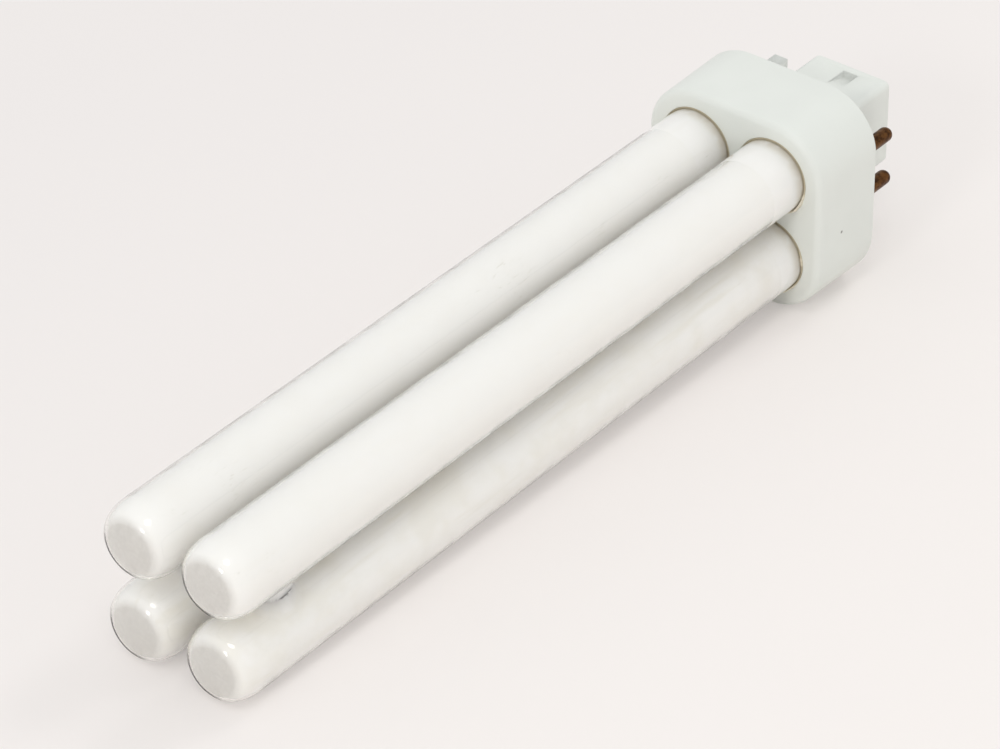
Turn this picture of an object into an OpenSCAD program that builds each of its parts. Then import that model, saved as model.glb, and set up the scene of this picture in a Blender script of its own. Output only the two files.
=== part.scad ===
// Four pin compact fluorescent lamp: four joined glass limbs in a moulded holder with a keyed post.
// The lamp lies along X. The seating face, where the pins leave the holder, is at x = 0 on the lamp's axis.
// The glass runs towards -X and the pins point along +X.

/* [Glass] */
// Outside diameter of each glass limb
tube_d = 12.3; // [11.5:0.1:12.8]
// Gap between neighbouring limbs
limb_gap = 2.1; // [2:0.1:3]
// Distance from the seating face to the flat ends of the limbs
tube_reach = 149.3; // [110:0.5:180]
// How far the shoulder of a limb's end is rounded across the limb
shoulder_across = 2.3; // [1:0.1:3.5]
// How far the shoulder of a limb's end is rounded along the limb
shoulder_along = 4.4; // [2:0.1:6]
// Rise of the shallow dome on a limb's end
end_dome = 0.4; // [0.1:0.1:1]
// Diameter of the short glass bridges that join two limbs
bridge_d = 6.5; // [4:0.5:8]
// Distance from the flat ends to the axis of the outer bridges
end_to_bridge = 16.8; // [12:0.2:24]
// Distance from the holder's front face to the axis of the inner bridge
holder_to_bridge = 8.4; // [6:0.1:15]
// Rounding where a limb closes inside the holder
base_round = 3; // [1:0.5:4]
// Width of the flat seal that carries two lead wires
seal_w = 6; // [5:0.5:7]
// Thickness of the flat seal
seal_t = 2.4; // [1.8:0.2:3]
// Length of the flat seal beyond the closed end of its limb
seal_l = 2.2; // [1.5:0.1:2.6]
// Diameter of the closed pumping stem on the limbs without a seal
stem_d = 3; // [2:0.5:4]
// Length of the pumping stem
stem_l = 2; // [1:0.1:2.4]

/* [Holder shell] */
// Distance from the outermost glass to the side of the holder
shell_margin = 3.4; // [2.6:0.05:6]
// Radius of the holder's corners
shell_corner = 9.4; // [6:0.2:11]
// Depth of the holder from its front face to its rim
shell_depth = 14.6; // [13:0.1:20]
// How much narrower each side is at the front face than at the rim
shell_draft = 0.25; // [0:0.05:0.6]
// Rounding of the edge round the front face
face_round = 1.2; // [0.6:0.1:2]
// Rounding of the edge round the rim
rim_round = 0.4; // [0.2:0.1:0.8]
// Thickness of the holder's side walls
shell_wall = 1.7; // [1.4:0.1:2.4]
// Thickness of the front face
face_t = 2.4; // [1.8:0.2:3]
// Gap round each limb where it enters the front face
entry_gap = 0.25; // [0.15:0.05:0.4]
// Gap round each limb in the cement pocket behind the front face
pocket_gap = 0.65; // [0.45:0.05:0.8]
// Wall round each cement pocket
pocket_wall = 1.2; // [0.8:0.1:1.4]
// Depth of the front lip before a cement pocket begins
lip_depth = 1; // [0.6:0.1:1.5]
// Width of the ledge in the rim that the pin base rests on
ledge_w = 0.7; // [0.5:0.1:1]

/* [Pin base] */
// Thickness of the flange that closes the rim
flange_t = 1.8; // [1.2:0.1:2.4]
// Height of the raised plate from the rim to the seating face
plinth_h = 4.2; // [3:0.1:6]
// Distance from a row of pins to the side of the raised plate
plinth_side_margin = 2.5; // [1.7:0.1:2.6]
// Distance from the pins to the raised plate's top and bottom
plinth_end_margin = 8.4; // [6:0.1:9.5]
// Corner radius of the raised plate
plinth_corner = 8; // [1.5:0.5:9]
// Wall of the raised plate
plinth_wall = 1.8; // [1.4:0.1:2.2]
// Width of the post across the two rows of pins
post_w = 14.4; // [11:0.2:16]
// Height of the post along the rows of pins
post_h = 15; // [12:0.2:17]
// How far the post's middle lies above the lamp's axis
post_z = 0.9; // [0:0.1:1.5]
// Length of the post beyond the seating face
post_l = 13.5; // [11:0.5:18]
// Corner radius of the post
post_corner = 1.2; // [0.6:0.1:2]
// Rounding of the edge round the post's end
post_round = 0.8; // [0.4:0.1:1.2]
// Wall of the hollow post
post_wall = 2.1; // [1.9:0.1:2.6]
// Width of the keyway in the top of the post
keyway_w = 2.8; // [2:0.2:5]
// Sideways place of the keyway's middle
keyway_y = -0.8; // [-1.5:0.1:1.5]
// Distance from the post's end to the keyway's wall
keyway_end_margin = 2; // [1:0.2:3]
// Length of the keyway's ramp
keyway_l = 4.6; // [4:0.2:8]
// Depth of the keyway at its wall
keyway_depth = 1.2; // [0.6:0.1:1.5]
// Width of the locating rib beside the post
rib_w = 2.4; // [1.6:0.1:3]
// Sideways place of the locating rib's middle
rib_y = 6; // [4:0.1:8]
// How far the locating rib stands above the raised plate's top side
rib_proud = 1.2; // [0.6:0.1:2]
// How far the locating rib reaches past the seating face
rib_reach = 1.9; // [1:0.1:4]
// Depth of the locating rib below its top
rib_h = 4.2; // [2.5:0.1:5]

/* [Pins and leads] */
// Distance between the two rows of pins
pin_row_gap = 23; // [22.6:0.1:23.4]
// Distance between the two pins of a row
pin_spacing = 8; // [7.6:0.1:8.6]
// Diameter of a contact pin
pin_d = 2.4; // [2.3:0.05:2.65]
// How much thicker a pin is inside the plate, measured on its radius
shank_step = 0.2; // [0.2:0.05:0.3]
// Length of a contact pin beyond the seating face
pin_l = 6.9; // [6:0.1:7.5]
// How far the collar behind the plate stands out past the shank
collar_step = 0.2; // [0.15:0.05:0.3]
// Thickness of the collar
collar_t = 0.6; // [0.4:0.1:1]
// Length of the pin's tail behind its collar
tail_l = 2; // [1.2:0.1:2.6]
// Diameter of the pin's tail
tail_d = 2; // [1.8:0.05:2]
// Diameter of the pin's bore
pin_bore_d = 1.1; // [0.9:0.1:1.3]
// Depth of the bore, measured from the tail's end
pin_bore_l = 3.2; // [2.6:0.1:4]
// Diameter of a lead wire
lead_d = 0.5; // [0.4:0.05:0.6]
// Distance between the two leads of a seal
lead_gap = 3; // [2:0.2:3.6]
// Radius of the bends in a lead wire
lead_bend = 0.8; // [0.5:0.1:1]
// Straight length of a lead wire before its first bend
lead_lift = 0.2; // [0.1:0.1:0.4]
// Free room for the leads between the seals and the pins' tails
lead_room = 2.6; // [2.4:0.1:4]
// Room left between a lead's end and the bottom of its pin's bore
lead_end_room = 0.4; // [0.2:0.1:0.8]

/* [Fits] */
// Gap between the pin base and the shell's mouth
base_fit = 0.1; // [0.05:0.05:0.2]
// Gap between a pin and its hole
pin_fit = 0.05; // [0.02:0.01:0.1]
// Gap between the cement and what it fills
cement_fit = 0.05; // [0.02:0.01:0.1]

/* [Hidden] */
$fn = 96;

arc_steps = 8;          // straight steps in a small rounded edge
shoulder_steps = 14;    // straight steps in the rounded shoulder of a limb
lead_sides = 8;         // sides of a lead wire
over = 0.5;             // how far a cutter passes the face that it cuts

limb_r = tube_d / 2;
shank_r = pin_d / 2 + shank_step;
collar_r = shank_r + collar_step;
tail_r = tail_d / 2;
limb_c = (tube_d + limb_gap) / 2;
rim_x = -plinth_h;
face_x = rim_x - shell_depth;
limb_end_x = -tube_reach;
outer_bridge_x = limb_end_x + end_to_bridge;
inner_bridge_x = face_x - holder_to_bridge;
plinth_half_y = pin_row_gap / 2 + plinth_side_margin;
plinth_half_z = pin_spacing / 2 + plinth_end_margin;
shell_half = max(limb_c + limb_r + shell_margin, plinth_half_y + shell_wall);
shell_c = shell_half - shell_corner;
mouth_half = shell_half - shell_wall + ledge_w;
ledge_x = rim_x - flange_t;
plate_inner_x = -plinth_wall;
tail_x = plate_inner_x - collar_t - tail_l;
bore_end_x = tail_x + pin_bore_l;
seal_x = tail_x - lead_room;
limb_base_x = seal_x - seal_l;
pocket_end_x = limb_base_x - base_round;

// The upper limbs carry the seals and the lower limbs carry the pumping stems.
limbs = [[-1, 1], [1, 1], [-1, -1], [1, -1]];
// Each pin is a row side, a place in the row, and each is fed from the upper limb on its own side.
pins = [[-1, 1], [-1, -1], [1, 1], [1, -1]];

function arc(centre, radius_a, radius_b, from, to, steps) =
    [for (i = [0 : steps]) let (t = from + (to - from) * i / steps)
        centre + [radius_a * cos(t), radius_b * sin(t)]];
function pin_at(i) = [pins[i][0] * pin_row_gap / 2, pins[i][1] * pin_spacing / 2];

// Puts a shape of revolution about Z onto the X axis, with its height along +X.
module along_x() {
    rotate([0, 90, 0])
        children();
}

// Draws a flat outline in Y and Z and pushes it along +X, from one x to another.
module push_x(from, to) {
    translate([from, 0, 0])
        rotate([90, 0, 90])
            linear_extrude(to - from)
                children();
}

// A rectangle with round corners, drawn about its middle.
module round_rect(w, h, r) {
    square([w - 2 * r, h], center = true);
    square([w, h - 2 * r], center = true);
    for (y = [-1, 1], z = [-1, 1])
        translate([y * (w / 2 - r), z * (h / 2 - r)])
            circle(r);
}

// A block whose sides and corners all follow one side profile of [distance from the corner's centre, x].
module profiled_block(centre_y, centre_z, profile) {
    last = len(profile) - 1;
    corner = concat([[0, profile[0][1]]], profile, [[0, profile[last][1]]]);
    for (y = [-1, 1], z = [-1, 1])
        translate([0, y * centre_y, z * centre_z])
            along_x()
                rotate_extrude()
                    polygon(corner);
    rotate([-90, 0, 0])
        rotate([0, 0, -90])
            linear_extrude(2 * centre_y, center = true)
                polygon(both_sides(centre_z, profile));
    rotate([0, 0, -90])
        linear_extrude(2 * centre_z, center = true)
            polygon(both_sides(centre_y, profile));
}

function both_sides(centre, profile) =
    concat([for (p = profile) [centre + p[0], p[1]]],
           [for (i = [len(profile) - 1 : -1 : 0]) [-centre - profile[i][0], profile[i][1]]]);

// One glass limb: a closed tube with a soft flat end, and its closed end inside the holder.
module limb() {
    length = limb_base_x - limb_end_x;
    flat_r = limb_r - shoulder_across;
    dome = [for (i = [0 : 3]) [flat_r * i / 4, end_dome * pow(i / 4, 2)]];
    shoulder = arc([flat_r, end_dome + shoulder_along], shoulder_across, shoulder_along, -90, 0, shoulder_steps);
    closed = arc([limb_r - base_round, length - base_round], base_round, base_round, 0, 90, arc_steps);
    translate([limb_end_x, 0, 0])
        along_x()
            rotate_extrude()
                polygon(concat(dome, shoulder, closed, [[0, length]]));
}

// A short glass bridge between two limbs, square to both.
module bridge(x, from, to) {
    middle = (from + to) / 2;
    span = norm(to - from);
    translate([x, middle[0], middle[1]])
        rotate([from[0] == to[0] ? 0 : 90, 0, 0])
            cylinder(d = bridge_d, h = span, center = true);
}

module discharge_tube() {
    color("white")
        union() {
            for (at = limbs)
                translate([0, at[0] * limb_c, at[1] * limb_c])
                    limb();
            for (side = [-1, 1]) {
                bridge(outer_bridge_x, [side * limb_c, -limb_c], [side * limb_c, limb_c]);
                translate([limb_base_x - base_round, side * limb_c, limb_c])
                    push_x(0, base_round + seal_l)
                        square([seal_w, seal_t], center = true);
                translate([limb_base_x - base_round, side * limb_c, -limb_c])
                    along_x()
                        cylinder(d = stem_d, h = base_round + stem_l);
            }
            bridge(inner_bridge_x, [-limb_c, -limb_c], [limb_c, -limb_c]);
        }
}

// The outer form of the holder: rounded corners, drafted sides and soft edges.
module shell_outside() {
    front_r = shell_corner - shell_draft;
    profile = concat(
        arc([front_r - face_round, face_x + face_round], face_round, face_round, -90, 0, arc_steps),
        arc([shell_corner - rim_round, rim_x - rim_round], rim_round, rim_round, 0, 90, arc_steps));
    profiled_block(shell_c, shell_c, profile);
}

module cap_shell() {
    inner_half = shell_half - shell_wall;
    color("ghostwhite")
        difference() {
            shell_outside();
            difference() {
                push_x(face_x + face_t, ledge_x)
                    round_rect(2 * inner_half, 2 * inner_half, shell_corner - shell_wall);
                for (at = limbs)
                    translate([face_x, at[0] * limb_c, at[1] * limb_c])
                        along_x()
                            cylinder(r = limb_r + pocket_gap + pocket_wall, h = pocket_end_x - face_x);
            }
            push_x(ledge_x, rim_x + over)
                round_rect(2 * mouth_half, 2 * mouth_half, shell_corner - shell_wall + ledge_w);
            for (at = limbs)
                translate([0, at[0] * limb_c, at[1] * limb_c]) {
                    translate([face_x - over, 0, 0])
                        along_x()
                            cylinder(r = limb_r + entry_gap, h = lip_depth + 2 * over);
                    translate([face_x + lip_depth, 0, 0])
                        along_x()
                            cylinder(r = limb_r + pocket_gap, h = shell_depth);
                }
        }
}

// The moulded post, closed at its end, with soft corners.
module post_outside() {
    end = post_l - post_round;
    profile = concat([[post_corner, rim_x]],
        arc([post_corner - post_round, end], post_round, post_round, 0, 90, arc_steps));
    translate([0, 0, post_z])
        profiled_block(post_w / 2 - post_corner, post_h / 2 - post_corner, profile);
}

module plinth_outside() {
    edge = plinth_wall / 4;
    profile = concat([[plinth_corner, ledge_x]],
        arc([plinth_corner - edge, -edge], edge, edge, 0, 90, arc_steps));
    profiled_block(plinth_half_y - plinth_corner, plinth_half_z - plinth_corner, profile);
}

// The keyway: a ramp in the post's top that deepens towards a wall near the post's end, for a spring catch.
module keyway() {
    top = post_z + post_h / 2;
    wall_x = post_l - keyway_end_margin;
    translate([0, keyway_y + keyway_w / 2, 0])
        rotate([90, 0, 0])
            linear_extrude(keyway_w)
                polygon([[wall_x - keyway_l, top], [wall_x - keyway_l, top + over],
                         [wall_x, top + over], [wall_x, top - keyway_depth]]);
}

module pin_base() {
    inner_corner = max(plinth_corner - plinth_wall, 0.5);
    mouth_corner = shell_corner - shell_wall + ledge_w;
    color("ghostwhite")
        difference() {
            union() {
                push_x(ledge_x, rim_x)
                    round_rect(2 * (mouth_half - base_fit), 2 * (mouth_half - base_fit), mouth_corner - base_fit);
                plinth_outside();
                post_outside();
                translate([0, rib_y, plinth_half_z + rib_proud - rib_h / 2])
                    push_x(rim_x - flange_t / 2, rib_reach)
                        square([rib_w, rib_h], center = true);
            }
            push_x(ledge_x - over, plate_inner_x)
                round_rect(2 * (plinth_half_y - plinth_wall), 2 * (plinth_half_z - plinth_wall), inner_corner);
            translate([0, 0, post_z])
                push_x(plate_inner_x - over, post_l - post_wall)
                    square([post_w - 2 * post_wall, post_h - 2 * post_wall], center = true);
            for (i = [0 : len(pins) - 1])
                translate([0, pin_at(i)[0], pin_at(i)[1]]) {
                    translate([plate_inner_x - over, 0, 0])
                        along_x()
                            cylinder(r = shank_r + pin_fit, h = plinth_wall + 2 * over);
                    translate([ledge_x - over, 0, 0])
                        along_x()
                            cylinder(r = collar_r + pin_fit, h = plate_inner_x - ledge_x + over);
                }
            keyway();
        }
}

// One turned contact pin: round tip, a thicker shank in the plate, a collar behind it, a bored tail for its lead.
module contact_pin(i) {
    r = pin_d / 2;
    bore_r = pin_bore_d / 2;
    tip = arc([0, pin_l - r], r, r, 0, 90, arc_steps);
    color("saddlebrown")
        translate([0, pin_at(i)[0], pin_at(i)[1]])
            along_x()
                rotate_extrude()
                    polygon(concat(
                        [[bore_r, tail_x], [tail_r, tail_x], [tail_r, plate_inner_x - collar_t],
                         [collar_r, plate_inner_x - collar_t], [collar_r, plate_inner_x],
                         [shank_r, plate_inner_x], [shank_r, 0], [r, 0]],
                        tip,
                        [[0, bore_end_x], [bore_r, bore_end_x]]));
}

// Where a lead leaves its seal, in Y and Z: the outer lead goes to the upper pin, so the two don't cross.
function lead_start(i) = [pins[i][0] * (limb_c + pins[i][1] * lead_gap / 2), limb_c];

// The route of a lead in its own plane, as [x, distance across, direction]: out of the seal, a bend,
// straight across behind the plate, a bend back, and into the pin's bore.
function lead_route(across) =
    let (lateral_x = seal_x + lead_lift + lead_bend, quarter = 90, steps = 4)
    concat([[seal_x, 0, 0]],
           [for (k = [0 : steps]) let (t = quarter * k / steps)
               [seal_x + lead_lift + lead_bend * sin(t), lead_bend * (1 - cos(t)), t]],
           [for (k = [0 : steps]) let (t = quarter * (1 - k / steps))
               [lateral_x + lead_bend * (1 - sin(t)), across - lead_bend * (1 - cos(t)), t]],
           [[bore_end_x - lead_end_room, across, 0]]);

// The ring of points round one point of a lead, square to its direction.
function lead_ring(stop, start, sideways) =
    let (middle = [stop[0], start[0] + stop[1] * sideways[0], start[1] + stop[1] * sideways[1]])
    let (up = [-sin(stop[2]), cos(stop[2]) * sideways[0], cos(stop[2]) * sideways[1]])
    let (out = [0, -sideways[1], sideways[0]])
    [for (k = [0 : lead_sides - 1]) let (t = 360 * k / lead_sides)
        middle + lead_d / 2 * (cos(t) * up + sin(t) * out)];

module lead_wire(i) {
    start = lead_start(i);
    across = norm(pin_at(i) - start);
    sideways = (pin_at(i) - start) / across;
    route = lead_route(across);
    rings = len(route);
    points = [for (stop = route) each lead_ring(stop, start, sideways)];
    side_faces = [for (j = [0 : rings - 2], k = [0 : lead_sides - 1])
        let (a = j * lead_sides + k, b = j * lead_sides + (k + 1) % lead_sides)
        each [[a, b + lead_sides, b], [a, a + lead_sides, b + lead_sides]]];
    first = [[for (k = [0 : lead_sides - 1]) k]];
    last = [[for (k = [lead_sides - 1 : -1 : 0]) (rings - 1) * lead_sides + k]];
    color("silver")
        polyhedron(points, concat(side_faces, first, last));
}

// Cement in the pocket round one limb, from behind the lip to the end of the pocket.
module cement_ring(i) {
    at = limbs[i];
    length = pocket_end_x - face_x - lip_depth;
    color("wheat")
        translate([face_x + lip_depth, at[0] * limb_c, at[1] * limb_c])
            along_x()
                difference() {
                    cylinder(r = limb_r + pocket_gap - cement_fit, h = length);
                    translate([0, 0, -over])
                        cylinder(r = limb_r + cement_fit, h = length + 2 * over);
                }
}

discharge_tube();
cap_shell();
pin_base();
for (i = [0 : 3]) {
    contact_pin(i);
    lead_wire(i);
    cement_ring(i);
}
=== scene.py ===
# %% [markdown]
# A four pin compact fluorescent lamp
#
# Four glass limbs, coated white inside, stand in a moulded holder. A pin base closes the holder
# and carries a keyed post with two contact pins on each side.
# The engineering model is loaded first, and every piece made below is fitted to it.
# Shapes are worked out in millimetres and written in metres.

# %% Load the engineering model
import math
import bpy
import bmesh
import numpy as np
from mathutils import Matrix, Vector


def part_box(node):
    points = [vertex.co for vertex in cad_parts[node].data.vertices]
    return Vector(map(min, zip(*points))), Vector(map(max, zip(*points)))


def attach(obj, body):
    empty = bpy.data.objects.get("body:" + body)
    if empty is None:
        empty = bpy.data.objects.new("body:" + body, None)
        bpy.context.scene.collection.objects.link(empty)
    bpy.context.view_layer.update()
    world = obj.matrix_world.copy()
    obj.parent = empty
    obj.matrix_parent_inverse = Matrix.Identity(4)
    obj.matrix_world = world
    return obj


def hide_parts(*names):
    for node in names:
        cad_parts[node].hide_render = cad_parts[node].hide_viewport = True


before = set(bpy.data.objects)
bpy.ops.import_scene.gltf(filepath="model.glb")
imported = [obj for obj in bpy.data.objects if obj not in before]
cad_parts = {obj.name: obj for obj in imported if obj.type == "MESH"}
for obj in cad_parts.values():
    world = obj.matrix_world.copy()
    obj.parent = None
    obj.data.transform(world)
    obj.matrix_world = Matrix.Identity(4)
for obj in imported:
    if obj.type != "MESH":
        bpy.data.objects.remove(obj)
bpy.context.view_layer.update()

# %% [markdown]
# Sizes that the pieces share
#
# A piece that fits round another has to use the same numbers, or a gap opens between them.
# The main sizes are measured from the engineering model's own boxes instead of typed again.

# %% Measure the holder, the glass and the pins
MM = 0.001
shell_low, shell_high = (np.array(c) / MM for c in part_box("cap_shell"))
glass_low, glass_high = (np.array(c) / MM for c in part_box("discharge_tube"))
FACE_X, RIM_X = shell_low[0], shell_high[0]
SHELL_HALF = shell_high[1]
LIMB_R, LIMB_GAP = 6.15, 2.1
LIMB_C = LIMB_R + LIMB_GAP / 2
GLASS_END_X = glass_low[0]
PINS = [np.array(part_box(f"contact_pin_{i}")) / MM for i in range(1, 5)]
LIMBS = [(-1, 1), (1, 1), (-1, -1), (1, -1)]
assert abs(glass_high[1] - (LIMB_C + LIMB_R)) < 0.02
print(f"holder from x {RIM_X:.1f} to {FACE_X:.1f}, half width {SHELL_HALF:.1f}")
print(f"glass ends at x {GLASS_END_X:.1f}")

# %% [markdown]
# From a grid of points to a mesh
#
# A surface is a function of two parameters, so numpy can work out all its points at once as a grid.
# Each little square of the grid becomes two triangles. Points that fall on the same place are made
# one point, which closes seams and poles, and a triangle that shrinks to a line is dropped.
# A soft edge is shaded smooth and a real corner stays sharp.

# %% Turn grids of points into a solid
SAME_PLACE = 0.0002

def solid(name, bodies, finish, replaces=(), sharp=38, facts=None, hollow=()):
    """A mesh from closed bodies, each a list of (rows, columns, 3) grids in millimetres.

    facts maps an attribute's name to one array of values per grid point, in the grids' order.
    hollow lists the bodies that are cavities, whose faces look inwards."""
    points, triangles, groups, start = [], [], [], 0
    for group, grids in enumerate(bodies):
        for grid in grids:
            rows, columns = grid.shape[:2]
            k = np.arange(rows * columns).reshape(rows, columns) + start
            a, b, c, d = k[:-1, :-1], k[1:, :-1], k[1:, 1:], k[:-1, 1:]
            triangles += [np.stack(t, -1).reshape(-1, 3) for t in ((a, b, c), (a, c, d))]
            points.append(grid.reshape(-1, 3))
            groups.append(np.full(rows * columns, group))
            start += rows * columns
    points = np.concatenate(points)
    keys = np.column_stack([np.round(points / SAME_PLACE).astype(np.int64), np.concatenate(groups)])
    _, first, back = np.unique(keys, axis=0, return_index=True, return_inverse=True)
    t = back.reshape(-1)[np.concatenate(triangles)]
    t = t[(t[:, 0] != t[:, 1]) & (t[:, 1] != t[:, 2]) & (t[:, 2] != t[:, 0])]
    mesh = bpy.data.meshes.new(name)
    mesh.from_pydata(points[first] * MM, [], t)
    for fact, values in (facts or {}).items():
        values = np.asarray(values, dtype=np.float32)
        kind = "FLOAT_VECTOR" if values.ndim == 2 else "FLOAT"
        layer = mesh.attributes.new(fact, kind, "POINT")
        layer.data.foreach_set("vector" if values.ndim == 2 else "value", values[first].ravel())
    work = bmesh.new()
    work.from_mesh(mesh)
    bmesh.ops.recalc_face_normals(work, faces=work.faces)
    cavity = np.isin(keys[first][t[:, 0], 3], hollow)
    bmesh.ops.reverse_faces(work, faces=[face for face in work.faces if cavity[face.index]])
    work.to_mesh(mesh)
    work.free()
    mesh.shade_smooth()
    mesh.set_sharp_from_angle(angle=math.radians(sharp))
    mesh.materials.append(finish)
    piece = bpy.data.objects.new(name, mesh)
    bpy.context.scene.collection.objects.link(piece)
    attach(piece, "root")
    if replaces:
        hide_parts(*replaces)
    print(f"{name}: {len(mesh.vertices)} points, {len(mesh.polygons)} triangles")
    return piece


def arc(centre, radii, start, stop, steps):
    """Points centre + (radius_a cos t, radius_b sin t) for t from start to stop, in degrees."""
    t = np.radians(np.linspace(start, stop, steps + 1))
    return np.column_stack([centre[0] + radii[0] * np.cos(t), centre[1] + radii[1] * np.sin(t)])


def turned(profile, centre, steps=96):
    """A profile of (radius, x) rows turned about an axis along X through centre (y, z).

    Point = (x, centre_y + radius cos t, centre_z + radius sin t) for t once round."""
    t = np.linspace(0, 2 * np.pi, steps + 1)
    t[-1] = 0
    radius, x = profile[:, :1], profile[:, 1:]
    return np.stack([x + 0 * t, centre[0] + radius * np.cos(t), centre[1] + radius * np.sin(t)], -1)

# %% [markdown]
# A small kit for finishes
#
# A finish here is a Principled shader whose colour, roughness and bumps come from noise patterns.
# The patterns read the piece's own coordinates, scaled to millimetres, so a number in a pattern is
# a real size on the lamp. The helper below keeps each finish to a few readable lines.

# %% Build finishes from noise patterns
class Finish:
    """One material and the few node recipes that its patterns need."""

    def __init__(self, name, **constants):
        self.material = bpy.data.materials.new(name)
        self.material.use_nodes = True
        self.tree = self.material.node_tree
        self.shader = self.tree.nodes["Principled BSDF"]
        for socket, value in constants.items():
            self.shader.inputs[socket.replace("_", " ")].default_value = value
        self.place = self.node("ShaderNodeVectorMath", "SCALE", Vector=self.source("Object"), Scale=1000.0)

    def source(self, kind):
        return self.tree.nodes.new("ShaderNodeTexCoord").outputs[kind]

    def fact(self, name, out="Fac"):
        """A value that the piece carries on its own points."""
        made = self.tree.nodes.new("ShaderNodeAttribute")
        made.attribute_name = name
        return made.outputs[out]

    def node(self, kind, operation=None, out=0, **inputs):
        """A node with its inputs set or linked; gives back one of its outputs."""
        made = self.tree.nodes.new(kind)
        if operation:
            made.operation = operation
        for key, value in inputs.items():
            socket = made.inputs[int(key[1:])] if key[0] == "i" and key[1:].isdigit() else made.inputs[key]
            if isinstance(value, bpy.types.NodeSocket):
                self.tree.links.new(value, socket)
            else:
                socket.default_value = value
        return made.outputs[out]

    def math(self, operation, a, b=0.0):
        return self.node("ShaderNodeMath", operation, i0=a, i1=b)

    def noise(self, scale, detail=3.0, roughness=0.5, vector=None, distortion=0.0):
        return self.node("ShaderNodeTexNoise", Vector=vector or self.place, Scale=scale, Detail=detail,
                         Roughness=roughness, Distortion=distortion)

    def stretch(self, x, y, z):
        """The piece's coordinates times (x, y, z), which draws a pattern out along a side."""
        return self.node("ShaderNodeVectorMath", "MULTIPLY", i0=self.place, i1=(x, y, z))

    def rise(self, value, low, high, top=1.0):
        """0 below low, top above high, and a smooth step between them; low may be the larger."""
        flip = low > high
        made = self.tree.nodes.new("ShaderNodeMapRange")
        made.interpolation_type = "SMOOTHSTEP"
        self.tree.links.new(value, made.inputs["Value"])
        limits = (*sorted((low, high)), *((top, 0) if flip else (0, top)))
        for name, value in zip(("From Min", "From Max", "To Min", "To Max"), limits):
            made.inputs[name].default_value = value
        return made.outputs[0]

    def mix(self, factor, a, b):
        """Colour a where factor is 0 and colour b where it is 1."""
        made = self.tree.nodes.new("ShaderNodeMix")
        made.data_type = "RGBA"
        for index, value in ((0, factor), (6, a), (7, b)):
            if isinstance(value, bpy.types.NodeSocket):
                self.tree.links.new(value, made.inputs[index])
            else:
                made.inputs[index].default_value = (*value, 1) if isinstance(value, tuple) else value
        return made.outputs[2]

    def wire(self, **sockets):
        for socket, value in sockets.items():
            self.tree.links.new(value, self.shader.inputs[socket.replace("_", " ")])

    def bump(self, height, depth_mm, before=None):
        """Bumps as high as height times depth_mm."""
        made = self.tree.nodes.new("ShaderNodeBump")
        made.inputs["Distance"].default_value = depth_mm * MM
        self.tree.links.new(height, made.inputs["Height"])
        if before is not None:
            self.tree.links.new(before, made.inputs["Normal"])
        return made.outputs[0]

# %% [markdown]
# The coated glass
#
# The limbs are clear glass, and the white is a powder on the inside of the glass.
# Near a limb's outline the eye looks along the wall and past the powder, so a thin olive line
# shows there. Paint can't give that line, so both are made: a hollow clear skin with a real wall,
# and a white coat just inside it. The light then finds its own way round the edge.
# The glass is a little rough, so that a lamp's reflection on a shoulder has a soft border.

# %% Mix the clear glass
clear = Finish("clear_glass", Base_Color=(0.995, 0.99, 0.97, 1), Roughness=0.09,
               Transmission_Weight=1.0, IOR=1.45)
RIPPLE_MM = 0.03
clear.wire(Normal=clear.bump(clear.noise(0.22, 1.0), RIPPLE_MM))
print("clear glass mixed")

# %% [markdown]
# The powder coat
#
# Each point of the coat knows its place on its own limb, so the pattern can tell the flat end, which
# gets painted shade over a slightly greyer coat, from the part beside the holder, where painted shade
# from the socket's gap turns a thinning coat tan and then brown. The powder lets some light through,
# so the shader scatters it a few millimetres inside. The lower limbs are patchier, and here and there
# the coat is rubbed in short dashes.

# %% Read the coat's own place
WHITE = (0.875, 0.863, 0.838)
BEIGE = (0.80, 0.775, 0.71)
# The end grey is mostly painted shade where the flat end faces away from the light, on a coat a little
# greyer there.
END_SHADE_GREY = (0.60, 0.583, 0.558)
# The socket's tan and brown are painted shade of the socket's gap, over a coat that thins there.
SOCKET_SHADE_TAN, SOCKET_SHADE_BROWN = (0.68, 0.62, 0.52), (0.58, 0.51, 0.38)
RUB_GREY, SPOKE_GREY = (0.66, 0.64, 0.57), (0.55, 0.54, 0.50)

coat = Finish("powder_coat", Roughness=0.42, Specular_IOR_Level=0.35, Subsurface_Weight=1.0,
              Subsurface_Radius=(1.0, 1.0, 1.0), Subsurface_Scale=0.006)

own = coat.fact("limb_place", "Vector")
split = coat.tree.nodes.new("ShaderNodeSeparateXYZ")
coat.tree.links.new(own, split.inputs[0])
along, across, upward = split.outputs
lower = coat.fact("lower_limb")
squares = [coat.math("POWER", side, 2.0) for side in (across, upward)]
radius = coat.math("SQRT", coat.math("ADD", *squares))
turn = coat.math("ARCTAN2", upward, across)
print("powder coat reads its own place on the limb")

# %% Pattern the clouds, streaks and rubs
cloud = coat.rise(coat.noise(0.16, 4.0, 0.55), 0.42, 0.68)
streak = coat.rise(coat.noise(1.0, 3.0, 0.6, coat.stretch(0.05, 0.55, 0.55)), 0.50, 0.72)
patchy = coat.math("MULTIPLY", coat.math("ADD", coat.math("MULTIPLY", lower, 0.48), 0.12),
                   coat.math("MAXIMUM", coat.math("MULTIPLY", cloud, 0.9), streak))
colour = coat.mix(patchy, WHITE, BEIGE)
rub = coat.noise(1.0, 2.0, 0.6, coat.stretch(0.7, 3.2, 3.2))
rubbed = coat.math("MULTIPLY", coat.rise(rub, 0.62, 0.69), coat.rise(coat.noise(0.11, 1.0), 0.58, 0.68))
colour = coat.mix(coat.math("MULTIPLY", rubbed, 0.45), colour, RUB_GREY)
print("clouds, streaks and rubs on the coat")
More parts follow.
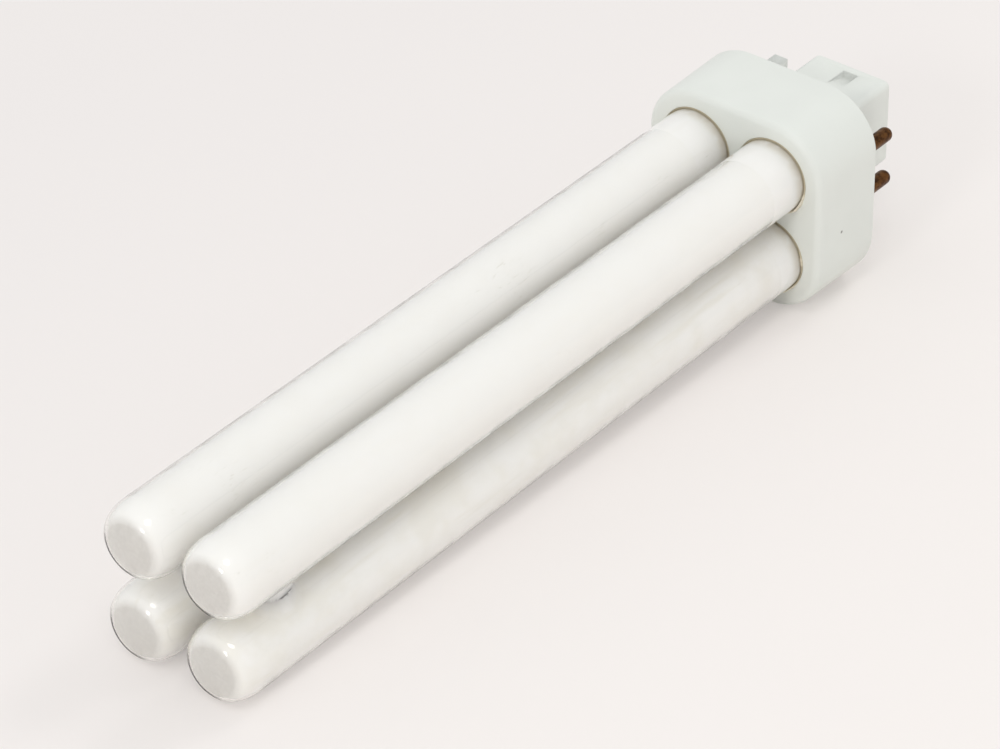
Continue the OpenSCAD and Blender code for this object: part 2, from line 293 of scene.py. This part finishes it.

# %% Pattern the flat ends with painted shade and scratches, and paint shade at the socket band
TAN_SHADE_BAND, BROWN_SHADE_BAND = 2.6, 0.35
end = float(GLASS_END_X)
# Painted shade: the flat end and the inner part of its shoulder turn grey, varied by the swirl mark.
on_end = coat.rise(along, end + 3.0, end + 1.2)
end_shade = coat.math("MULTIPLY", on_end, coat.rise(radius, 5.1, 3.8))
swirl = coat.math("ADD", coat.rise(coat.noise(0.9, 2.0, 0.5, own, 1.4), 0.15, 0.85, 0.3), 0.75)
colour = coat.mix(coat.math("MULTIPLY", end_shade, swirl), colour, END_SHADE_GREY)
spoke_place = coat.tree.nodes.new("ShaderNodeCombineXYZ")
coat.tree.links.new(coat.math("MULTIPLY", turn, 9.0), spoke_place.inputs[0])
coat.tree.links.new(coat.math("MULTIPLY", radius, 0.8), spoke_place.inputs[1])
spokes = coat.rise(coat.noise(1.0, 1.0, 0.5, spoke_place.outputs[0]), 0.56, 0.63)
ring = coat.math("MULTIPLY", coat.rise(radius, 2.7, 3.2), coat.rise(radius, 4.6, 3.8))
sector = coat.math("COMPARE", turn, -1.9)
sector.node.inputs[2].default_value = 0.75
spokes = coat.math("MULTIPLY", coat.math("MULTIPLY", spokes, ring), coat.math("MULTIPLY", sector, on_end))
colour = coat.mix(coat.math("MULTIPLY", spokes, 0.5), colour, SPOKE_GREY)
# Painted shade: a patchy tan band beside the holder and a thin brown line at the face stand in for the shade
# of the socket's gap.
socket_shade_patches = coat.rise(coat.noise(0.5, 2.0), 0.1, 0.6, 0.9)
socket = coat.math("MULTIPLY", coat.rise(along, FACE_X - TAN_SHADE_BAND, FACE_X), socket_shade_patches)
colour = coat.mix(socket, colour, SOCKET_SHADE_TAN)
brown_shade_line = coat.rise(along, FACE_X - BROWN_SHADE_BAND, FACE_X - 0.05, 0.9)
colour = coat.mix(brown_shade_line, colour, SOCKET_SHADE_BROWN)
coat.wire(Base_Color=colour, Normal=coat.bump(coat.noise(2.4, 3.0, 0.6), 0.01))
print("flat ends and socket band on the coat")

# %% [markdown]
# Four limbs and three bridges
#
# A limb is a profile turned about its axis: a shallow dome, an elliptical shoulder, a straight run
# and a round closed end inside the holder. Where two limbs are fused, the glass of each is drawn out
# to the plane between them, inside a round patch, and falls back along a quarter circle.
# Pulling the points keeps each limb one closed skin, with a soft neck that an added rod wouldn't have.
# The same function, set in by the wall, gives the cavity and the coat. Beside the holder the coat
# flares out until it meets the glass, so the line at the socket is a clean one.

# %% Work out one limb
DOME, SHOULDER_ACROSS, SHOULDER_ALONG, BASE_ROUND = 0.4, 2.3, 4.4, 3.0
BRIDGE_R, NECK_ROOM, WALL, COAT_GAP = 3.25, 5.2, 0.3, 0.03
FLARE, FLARE_START, FLARE_LENGTH = 0.052, 6.0, 5.4
OUTER_BRIDGE_X = GLASS_END_X + 12.7
INNER_BRIDGE_X = FACE_X - 8.4
LIMB_BASE_X = -9.2

def limb_profile(bridge_places, inset):
    """Rows of (radius, x), set in from the outside by inset, and closer together near a bridge."""
    outside = LIMB_R - inset
    across, along_it = SHOULDER_ACROSS - inset * 0.4, SHOULDER_ALONG - inset * 0.4
    flat = outside - across
    start = GLASS_END_X + inset
    r = np.linspace(0, flat, 6)[:-1]
    dome = np.column_stack([r, start + DOME * (r / flat) ** 2])
    shoulder = arc((flat, start + DOME + along_it), (across, along_it), -90, 0, 22)
    base_x = LIMB_BASE_X - inset
    x = [np.linspace(shoulder[-1, 1], base_x - BASE_ROUND, 26)]
    x += [np.linspace(place - NECK_ROOM, place + NECK_ROOM, 44) for place in bridge_places]
    x = np.unique(np.round(np.concatenate(x), 4))[1:-1]
    closed = arc((outside - BASE_ROUND, base_x - BASE_ROUND), (BASE_ROUND, BASE_ROUND), 0, 90, 6)
    return np.vstack([dome, shoulder, np.column_stack([np.full(len(x), outside), x]), closed, [[0, base_x]]])

def draw_out(grid, centre, toward, bridge_x, inset, wall):
    """Moves points toward the neighbour by gap times h, h = 1 - sqrt(1 - (1 - t)^2).

    t runs from 0 at the neck's radius to 1 at the foot of its fillet, and the radius is measured
    in the plane between the two limbs. A slow wave makes the melted neck a little uneven."""
    toward = np.array(toward, float)
    offset = grid[..., 1:] - centre
    depth = offset @ toward
    side = offset @ np.array([-toward[1], toward[0]])
    around = np.arctan2(side, grid[..., 0] - bridge_x)
    neck = (BRIDGE_R - wall) * (1 + 0.05 * np.sin(2 * around + 0.7) + 0.03 * np.sin(5 * around))
    fillet = LIMB_GAP / 2 + inset
    t = np.clip((np.hypot(grid[..., 0] - bridge_x, side) - neck) / fillet, 0, 1)
    h = (1 - np.sqrt(1 - (1 - t) ** 2)) * (depth > 0)
    reach = LIMB_C - wall * 0.25
    grid[..., 1:] += (h * (reach - depth))[..., None] * toward

def limb_skin(signs, inset, wall):
    """One limb's whole skin as a grid, and each point's place on the limb's own axis."""
    y, z = signs
    centre = np.array([y * LIMB_C, z * LIMB_C])
    necks = [OUTER_BRIDGE_X] + ([INNER_BRIDGE_X] if z < 0 else [])
    grid = turned(limb_profile(necks, inset), centre, 112)
    place = (grid - [0, *centre]).reshape(-1, 3)
    draw_out(grid, centre, (0, -z), OUTER_BRIDGE_X, inset, wall)
    if z < 0:
        draw_out(grid, centre, (-y, 0), INNER_BRIDGE_X, inset, wall)
    return grid, place

# %% Make the clear limbs and their white coats
def flared(skin, centre):
    """Radius times 1 + FLARE f^2 (3 - 2f), f from 0 to 1 over FLARE_LENGTH toward the holder."""
    f = np.clip((skin[..., :1] - FACE_X + FLARE_START) / FLARE_LENGTH, 0, 1)
    skin[..., 1:] = centre + (skin[..., 1:] - centre) * (1 + FLARE * f ** 2 * (3 - 2 * f))
    return skin

coats, places, low = [], [], []
for i, signs in enumerate(LIMBS, 1):
    outside, _ = limb_skin(signs, 0.0, 0.0)
    inside, _ = limb_skin(signs, WALL, WALL)
    glass = solid(f"glass_limb_{i}", [[outside], [inside]], clear.material,
                  ["discharge_tube"], 60, hollow=[1])
    glass.visible_shadow = glass.visible_diffuse = False
    skin, place = limb_skin(signs, WALL + COAT_GAP, -0.12)
    coats.append([flared(skin, np.array(signs) * LIMB_C)])
    places.append(place)
    low.append(np.full(len(place), float(signs[1] < 0)))
solid("powder_coats", coats, coat.material, ["discharge_tube"], 60,
      {"limb_place": np.concatenate(places), "lower_limb": np.concatenate(low)})

# %% [markdown]
# White moulded plastic
#
# The holder and the pin base are satin white plastic with a cool green cast.
# A faint cloud in the colour, a fine grain in the gloss and a very small bump keep it from
# looking like plain paint. One speck of dirt sits on the holder's side, as on a used lamp.

# %% Mix the white plastic
SPECK = (-12.8, -16.65, -2.5)
COOL_WHITE, COOL_SHADE = (0.785, 0.805, 0.755), (0.77, 0.79, 0.74)

plastic = Finish("white_plastic", IOR=1.5)
tone = plastic.mix(plastic.rise(plastic.noise(0.12, 3.0), 0.3, 0.7), COOL_WHITE, COOL_SHADE)
fleck = plastic.rise(plastic.noise(2.2, 2.0), 0.66, 0.74, 0.05)
tone = plastic.mix(fleck, tone, (0.6, 0.6, 0.55))
near = plastic.node("ShaderNodeVectorMath", "DISTANCE", out="Value", i0=plastic.place, i1=SPECK)
tone = plastic.mix(plastic.rise(near, 0.32, 0.16, 0.8), tone, (0.12, 0.11, 0.10))
gloss = plastic.math("ADD", plastic.rise(plastic.noise(0.8, 4.0), 0.0, 1.0, 0.1), 0.38)
dents = plastic.bump(plastic.noise(0.25, 2.0), 0.012)
plastic.wire(Base_Color=tone, Roughness=gloss, Normal=plastic.bump(plastic.noise(5.0, 2.0), 0.0006, dents))
print("white plastic mixed")

# %% [markdown]
# The holder
#
# The holder is a rounded square cup with four sockets in its front face.
# Its sides are one profile carried round a rounded square outline. The face is cut into four
# quarters, and each quarter is a fan of lines from a socket's rim to the quarter's border, so the
# socket's rounded lip and the face are one skin, and no hole has to be cut.

# %% Draw the holder's outline
CORNER_C = SHELL_HALF - 9.4
FLAT_STEPS, CORNER_STEPS = 12, 16

def outline(distance):
    """Once round a rounded square whose corners are circles of that radius, starting at y = 0 on top."""
    flat = np.linspace(-CORNER_C, CORNER_C, FLAT_STEPS + 1)
    half = CORNER_C + distance
    top = np.column_stack([flat, np.full(len(flat), half)])
    corner = arc((CORNER_C, CORNER_C), (distance, distance), 90, 0, CORNER_STEPS)[1:-1]
    side = np.vstack([top, corner])
    loop = np.vstack([side @ np.array([[c, -s], [s, c]]) for c, s in ((1, 0), (0, 1), (-1, 0), (0, -1))])
    return np.vstack([loop, loop[:1]])

def swept(profile):
    """The outline carried along a profile of (distance, x) rows."""
    return np.stack([np.column_stack([np.full(len(outline(d)), x), outline(d)]) for d, x in profile])

# %% Draw one quarter of a face
def quarter_border(distance):
    """The quarter's border: along both middle lines and round the outline's own points."""
    loop = outline(distance)
    mine = loop[(loop[:, 0] > -1e-9) & (loop[:, 1] > -1e-9)]
    mine = np.unique(np.round(mine, 6), axis=0)
    mine = mine[np.argsort(-np.arctan2(mine[:, 1], mine[:, 0]))]
    down = np.linspace(1, 0, 14)[1:, None] * [[CORNER_C + distance, 0]]
    back = np.linspace(0, 1, 14)[1:, None] * [[0, CORNER_C + distance]]
    return np.vstack([mine, down, back])

def fan(rings, distance, x, signs, steps=5):
    """A skin from a socket's rings of (radius, x) out to the quarter's border at x."""
    border = quarter_border(distance)
    angle = np.arctan2(border[:, 1] - LIMB_C, border[:, 0] - LIMB_C)
    spin = np.column_stack([np.cos(angle), np.sin(angle)])
    rows = [np.column_stack([np.full(len(spin), rx), LIMB_C + r * spin]) for r, rx in rings]
    last = rows[-1][:, 1:]
    for s in np.linspace(0, 1, steps + 1)[1:]:
        rows.append(np.column_stack([np.full(len(spin), x), last + s * (border - last)]))
    return np.stack(rows) * [1, *signs]

# %% Make the holder
FRONT_R, LIP, POCKET = 9.15, 0.18, 6.6
outer = np.vstack([arc((FRONT_R - 1.2, FACE_X + 1.2), (1.2, 1.2), -90, 0, 10),
                   arc((9.0, RIM_X - 0.4), (0.4, 0.4), 0, 90, 6),
                   [[8.4, RIM_X], [8.4, RIM_X - 1.8], [7.7, RIM_X - 1.8], [7.7, FACE_X + 2.4]]])
lip = np.vstack([[[6.8, FACE_X + 1.0], [6.4, FACE_X + 1.0]],
                 arc((6.4 + LIP, FACE_X + LIP), (LIP, LIP), 180, 270, 6)])
pocket = np.array([[6.8, FACE_X + 1.0], [6.8, FACE_X + POCKET], [7.1, FACE_X + POCKET], [7.1, FACE_X + 2.4]])
grids = [swept(outer)]
for signs in LIMBS:
    grids.append(fan(lip, FRONT_R - 1.2, FACE_X, signs))
    grids.append(fan(pocket, 7.7, FACE_X + 2.4, signs, 2))
solid("holder", [grids], plastic.material, ["cap_shell"])

# %% [markdown]
# The pin base
#
# The pin base is a flange, a raised plate, the keyed post and a locating rib, moulded as one.
# It has too many small steps for one simple surface, so a copy of the engineering model's own mesh
# is used: its loose triangles are joined first, and the soft edges are then shaded smooth.

# %% Dress a copy of the pin base
def joined_copy(node, name, finish, sharp=32):
    """A copy of a CAD node's mesh with its loose triangles joined, and soft edges shaded smooth."""
    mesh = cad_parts[node].data.copy()
    mesh.name = name
    work = bmesh.new()
    work.from_mesh(mesh)
    bmesh.ops.remove_doubles(work, verts=work.verts, dist=2e-6)
    work.to_mesh(mesh)
    work.free()
    mesh.materials.clear()
    mesh.materials.append(finish)
    mesh.shade_smooth()
    mesh.set_sharp_from_angle(angle=math.radians(sharp))
    piece = bpy.data.objects.new(name, mesh)
    piece.matrix_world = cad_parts[node].matrix_world
    bpy.context.scene.collection.objects.link(piece)
    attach(piece, "root")
    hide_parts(node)
    print(f"{name}: {len(mesh.polygons)} triangles")
    return piece

joined_copy("pin_base", "keyed_base", plastic.material)

# %% [markdown]
# The contact pins
#
# The pins are turned brass that has gone dark brown. A metal shader with a patchy brown colour,
# rougher and duller where it is darker, gives the tarnish, and fine rings round the pin are the marks
# of turning.

# %% Mix the tarnished brass
brass = Finish("pin_brass", Metallic=1.0)
tarnish = brass.rise(brass.noise(1.1, 4.0, 0.65), 0.35, 0.70)
brown = brass.mix(tarnish, (0.16, 0.07, 0.022), (0.05, 0.02, 0.008))
brass.wire(Base_Color=brown, Roughness=brass.math("ADD", brass.math("MULTIPLY", tarnish, 0.25), 0.30))
rings = brass.noise(1.0, 2.0, 0.5, brass.stretch(9.0, 0.4, 0.4))
brass.wire(Normal=brass.bump(rings, 0.01, brass.bump(brass.noise(2.5, 2.0), 0.03)))
print("tarnished brass mixed")

# %% Turn the four pins
PIN_R, SHANK_R, COLLAR_R, TAIL_R, BORE_R = 1.2, 1.4, 1.6, 1.0, 0.55
PLATE_X, COLLAR_X, BORE_END_X = -1.8, -2.4, -1.2
for i, (low_corner, high_corner) in enumerate(PINS, 1):
    middle = (low_corner + high_corner)[1:] / 2
    tail_x, tip_x = low_corner[0], high_corner[0]
    profile = np.vstack([[[0, BORE_END_X], [BORE_R, BORE_END_X], [BORE_R, tail_x], [TAIL_R, tail_x],
                          [TAIL_R, COLLAR_X], [COLLAR_R, COLLAR_X], [COLLAR_R, PLATE_X],
                          [SHANK_R, PLATE_X], [SHANK_R, 0], [PIN_R, 0]],
                         arc((0, tip_x - PIN_R), (PIN_R, PIN_R), 0, 90, 12)])
    profile[-1, 0] = 0
    solid(f"turned_pin_{i}", [[turned(profile, middle, 48)]], brass.material,
          [f"contact_pin_{i}"])

# %% [markdown]
# Cement in the sockets
#
# Cement holds the glass. At the lip it is level with the face and coloured brown, which draws a thin
# line round each limb. Here and there a little has squeezed out and is cream. The rings inside
# are the engineering model's own. The visible part is a ring whose height follows a few bells round
# the limb, and it carries that height on its points, so the colour can follow it.

# %% Mix the cement
LIP_BROWN, CREAM, DARK_CREAM = (0.56, 0.49, 0.35), (0.80, 0.75, 0.62), (0.72, 0.66, 0.52)

cement = Finish("cement", Roughness=0.85)
crumbs = cement.noise(1.6, 4.0, 0.65)
cream = cement.mix(cement.rise(crumbs, 0.3, 0.7), CREAM, DARK_CREAM)
squeezed = cement.rise(cement.fact("squeezed_out"), 0.15, 0.45)
# Brown where the bead is lowest, at the lip, and cream where it has squeezed out.
cement.wire(Base_Color=cement.mix(squeezed, LIP_BROWN, cream), Normal=cement.bump(crumbs, 0.15))
for i in range(1, 5):
    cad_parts[f"cement_ring_{i}"].data.materials.clear()
    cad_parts[f"cement_ring_{i}"].data.materials.append(cement.material)
print("cement mixed")

# %% Squeeze the beads out of the sockets
BEAD_START, BEAD_WIDE, BEAD_WIDER, BEAD_DEEP, BEAD_FOOT = 0.01, 0.22, 0.4, 0.5, 0.2

def bead(centre, peaks):
    """A closed ring round a limb, with a half ellipse on top, and each point's height.

    Height = the sum of the bells tall exp(-(angle / width)^2), each with a small ripple.
    Radius = limb + start + wide (1 + cos s) / 2, and x falls by (height + deep) sin s."""
    t = np.linspace(0, 2 * np.pi, 181)
    height = np.zeros(len(t))
    for at, width, tall in peaks:
        away = (t - math.radians(at) + np.pi) % (2 * np.pi) - np.pi
        ripple = 1 + 0.18 * np.sin(23 * t) + 0.12 * np.sin(41 * t + 1)
        height += tall * np.exp(-(away / math.radians(width)) ** 2) * ripple
    s = np.linspace(0, 2 * np.pi, 17)[:, None]
    s[-1] = 0
    t[-1] = 0
    height[-1] = height[0]
    wide = BEAD_WIDE + BEAD_WIDER * height
    radius = LIMB_R + BEAD_START + wide * (1 + np.cos(s)) / 2
    above, below = np.clip(np.sin(s), 0, None), np.clip(np.sin(s), None, 0)
    x = FACE_X + BEAD_DEEP - above * (height + BEAD_DEEP) - below * BEAD_FOOT
    ring = np.stack([x, centre[0] + radius * np.cos(t), centre[1] + radius * np.sin(t)], -1)
    return ring, np.broadcast_to(height, ring.shape[:2])

BEADS = {(-1, 1): [(215, 26, 0.75), (330, 12, 0.5)], (1, 1): [(205, 14, 0.6), (300, 20, 0.5)],
         (-1, -1): [(235, 20, 0.7), (170, 10, 0.35)], (1, -1): [(250, 20, 0.5)]}
for i, (signs, peaks) in enumerate(BEADS.items(), 1):
    centre = np.array(signs) * LIMB_C
    ring, height = bead(centre, peaks)
    solid(f"cement_bead_{i}", [[ring]], cement.material, sharp=80,
          facts={"squeezed_out": height.ravel()})

# %% [markdown]
# The lead wires
#
# The leads run behind the raised plate and can't be seen in the finished lamp.
# They keep the engineering model's own mesh and only get a drawn wire's finish.

# %% Dress the lead wires
wire = Finish("lead_metal", Metallic=1.0, Base_Color=(0.55, 0.54, 0.52, 1))
wire.wire(Roughness=wire.rise(wire.noise(6.0, 3.0), 0.0, 1.0, 0.6))
wire.wire(Normal=wire.bump(wire.noise(8.0, 2.0), 0.01))
for i in range(1, 5):
    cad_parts[f"lead_wire_{i}"].data.materials.clear()
    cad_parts[f"lead_wire_{i}"].data.materials.append(wire.material)
print("lead wires dressed")

# %% [markdown]
# The table
#
# The lamp lies on a pale table. The holder is wider than the glass, so the lamp leans a little,
# and the table is tilted by the same small angle to touch both the holder's rim and the glass ends.
# The pale background is the table's own colour with painted light, lighter toward the viewer. A share
# of it is shown unlit to the camera, the mirrors and the glass, which evens it out and still leaves the
# shadow.

# %% Lay the table
GLASS_FOOT_X, GLASS_FOOT_Z = -145.0, -13.35
SLOPE = (GLASS_FOOT_Z + SHELL_HALF) / (GLASS_FOOT_X - RIM_X)
UNLIT_SHARE, TABLE_REACH = 0.35, 1600.0
SHADED_FAR_TABLE, LIT_NEAR_TABLE, CLOUD_PALE = (0.86, 0.822, 0.803), (0.93, 0.885, 0.852), (0.89, 0.845, 0.815)

def table_height(x):
    """Height of the table at x, in millimetres: it touches the rim and the shoulders of the glass."""
    return -SHELL_HALF + (x - RIM_X) * SLOPE - 0.02

paper = Finish("pale_table", Roughness=0.8, Specular_IOR_Level=0.2)
beside = paper.tree.nodes.new("ShaderNodeSeparateXYZ")
paper.tree.links.new(paper.place, beside.inputs[0])
# Painted light: the table's colour is lighter toward the viewer and darker far away.
painted_light_falloff = paper.mix(paper.rise(beside.outputs[1], 140.0, -140.0), SHADED_FAR_TABLE, LIT_NEAR_TABLE)
paper.wire(Base_Color=paper.mix(paper.rise(paper.noise(0.012, 3.0), 0.3, 0.7, 0.3), painted_light_falloff, CLOUD_PALE))
glow = paper.tree.nodes.new("ShaderNodeEmission")
paper.tree.links.new(painted_light_falloff, glow.inputs["Color"])
light_path = paper.tree.nodes.new("ShaderNodeLightPath").outputs
seen = paper.math("MAXIMUM", light_path["Is Camera Ray"],
                  paper.math("MAXIMUM", light_path["Is Glossy Ray"], light_path["Is Transmission Ray"]))
blend = paper.tree.nodes.new("ShaderNodeMixShader")
paper.tree.links.new(paper.math("MULTIPLY", seen, UNLIT_SHARE), blend.inputs[0])
paper.tree.links.new(paper.shader.outputs[0], blend.inputs[1])
paper.tree.links.new(glow.outputs[0], blend.inputs[2])
paper.tree.links.new(blend.outputs[0], paper.tree.nodes["Material Output"].inputs["Surface"])
corners = [(x * TABLE_REACH, y * TABLE_REACH, table_height(x * TABLE_REACH))
           for x, y in ((-1, -1), (1, -1), (1, 1), (-1, 1))]
mesh = bpy.data.meshes.new("table")
mesh.from_pydata([tuple(v * MM for v in c) for c in corners], [], [(0, 1, 2, 3)])
mesh.materials.append(paper.material)
table = bpy.data.objects.new("table", mesh)
bpy.context.scene.collection.objects.link(table)
print(f"table slopes {math.degrees(math.atan(SLOPE)):.2f} degrees")

# %% [markdown]
# Light
#
# Three soft lamps and a pale sky light the scene. The first hangs overhead and makes the bright
# patches on the upper shoulders. The second stands in front of the glass ends and makes the small
# dots on the lower ones. The third stands behind the holder and throws the soft shadow in front of
# the ends. It is hidden from the mirrors and the glass, where it would draw a hard streak.
# Most of the light comes from the sky, so a colour renders about as it is written.

# %% Hang the lamps
CENTRE, LAMP_DISTANCE = np.array([-0.07, 0.0, 0.0]), 1.2

def softbox(name, direction, size, power):
    """A square lamp that faces CENTRE from LAMP_DISTANCE away."""
    lamp = bpy.data.lights.new(name, "AREA")
    lamp.shape, lamp.size, lamp.energy = "SQUARE", size, power
    away = np.array(direction, float)
    away /= np.linalg.norm(away)
    stand = bpy.data.objects.new(name, lamp)
    side = np.cross([0, 0, 1], away)
    side /= np.linalg.norm(side)
    turn_to = np.eye(4)
    turn_to[:3, 0], turn_to[:3, 1], turn_to[:3, 2] = side, np.cross(away, side), away
    turn_to[:3, 3] = CENTRE + LAMP_DISTANCE * away
    stand.matrix_world = Matrix(turn_to.tolist())
    bpy.context.scene.collection.objects.link(stand)
    print(f"{name}: {power} W at {LAMP_DISTANCE} m")
    return stand

softbox("lamp_overhead", (-0.27, -0.25, 0.93), 0.32, 1.5)
softbox("lamp_in_front", (-0.84, -0.146, 0.51), 0.2, 2.0)
behind = softbox("lamp_behind_holder", (0.62, -0.12, 0.72), 0.3, 1.6)
behind.visible_glossy = behind.visible_transmission = False
world = bpy.data.worlds.new("pale_sky")
world.use_nodes = True
sky = world.node_tree.nodes["Background"].inputs
sky["Color"].default_value, sky["Strength"].default_value = (0.98, 0.99, 1.0, 1), 0.79
bpy.context.scene.world = world
print("pale sky at", round(sky["Strength"].default_value, 2))

# %% [markdown]
# The camera
#
# The camera stands where the photograph was taken. Its direction, distance and focal length were
# found by fitting the lamp's sizes to its outline. The rotation's columns are the picture's right,
# its up and the way back to the viewer.

# %% Place the camera
AZIMUTH, ELEVATION, ROLL = (math.radians(v) for v in (-50.84, 35.57, -0.713))
DISTANCE, FOCAL_PX, FRAME_PX, SENSOR_MM = 0.6637, 4505.0, 1000, 36.0
OFF_RIGHT_PX, OFF_UP_PX = 2.23, 7.02
level = math.cos(ELEVATION)
look = np.array([-math.sin(AZIMUTH) * level, math.cos(AZIMUTH) * level, -math.sin(ELEVATION)])
flat_right = np.array([math.cos(AZIMUTH), math.sin(AZIMUTH), 0.0])
flat_up = np.cross(flat_right, look)
right = math.cos(ROLL) * flat_right + math.sin(ROLL) * flat_up
up = -math.sin(ROLL) * flat_right + math.cos(ROLL) * flat_up
target = np.array([-0.07595, 0.0, 0.0])
pixel = DISTANCE / FOCAL_PX
eye = target - DISTANCE * look - (OFF_RIGHT_PX * pixel) * right - (OFF_UP_PX * pixel) * up

lens = bpy.data.cameras.new("camera")
lens.sensor_width, lens.lens = SENSOR_MM, SENSOR_MM * FOCAL_PX / FRAME_PX
camera = bpy.data.objects.new("camera", lens)
pose = np.eye(4)
pose[:3, 0], pose[:3, 1], pose[:3, 2], pose[:3, 3] = right, up, -look, eye
camera.matrix_world = Matrix(pose.tolist())
bpy.context.scene.collection.objects.link(camera)
bpy.context.scene.camera = camera
bpy.context.scene.view_settings.view_transform = "Standard"
print("camera lens", round(lens.lens, 1), "mm")
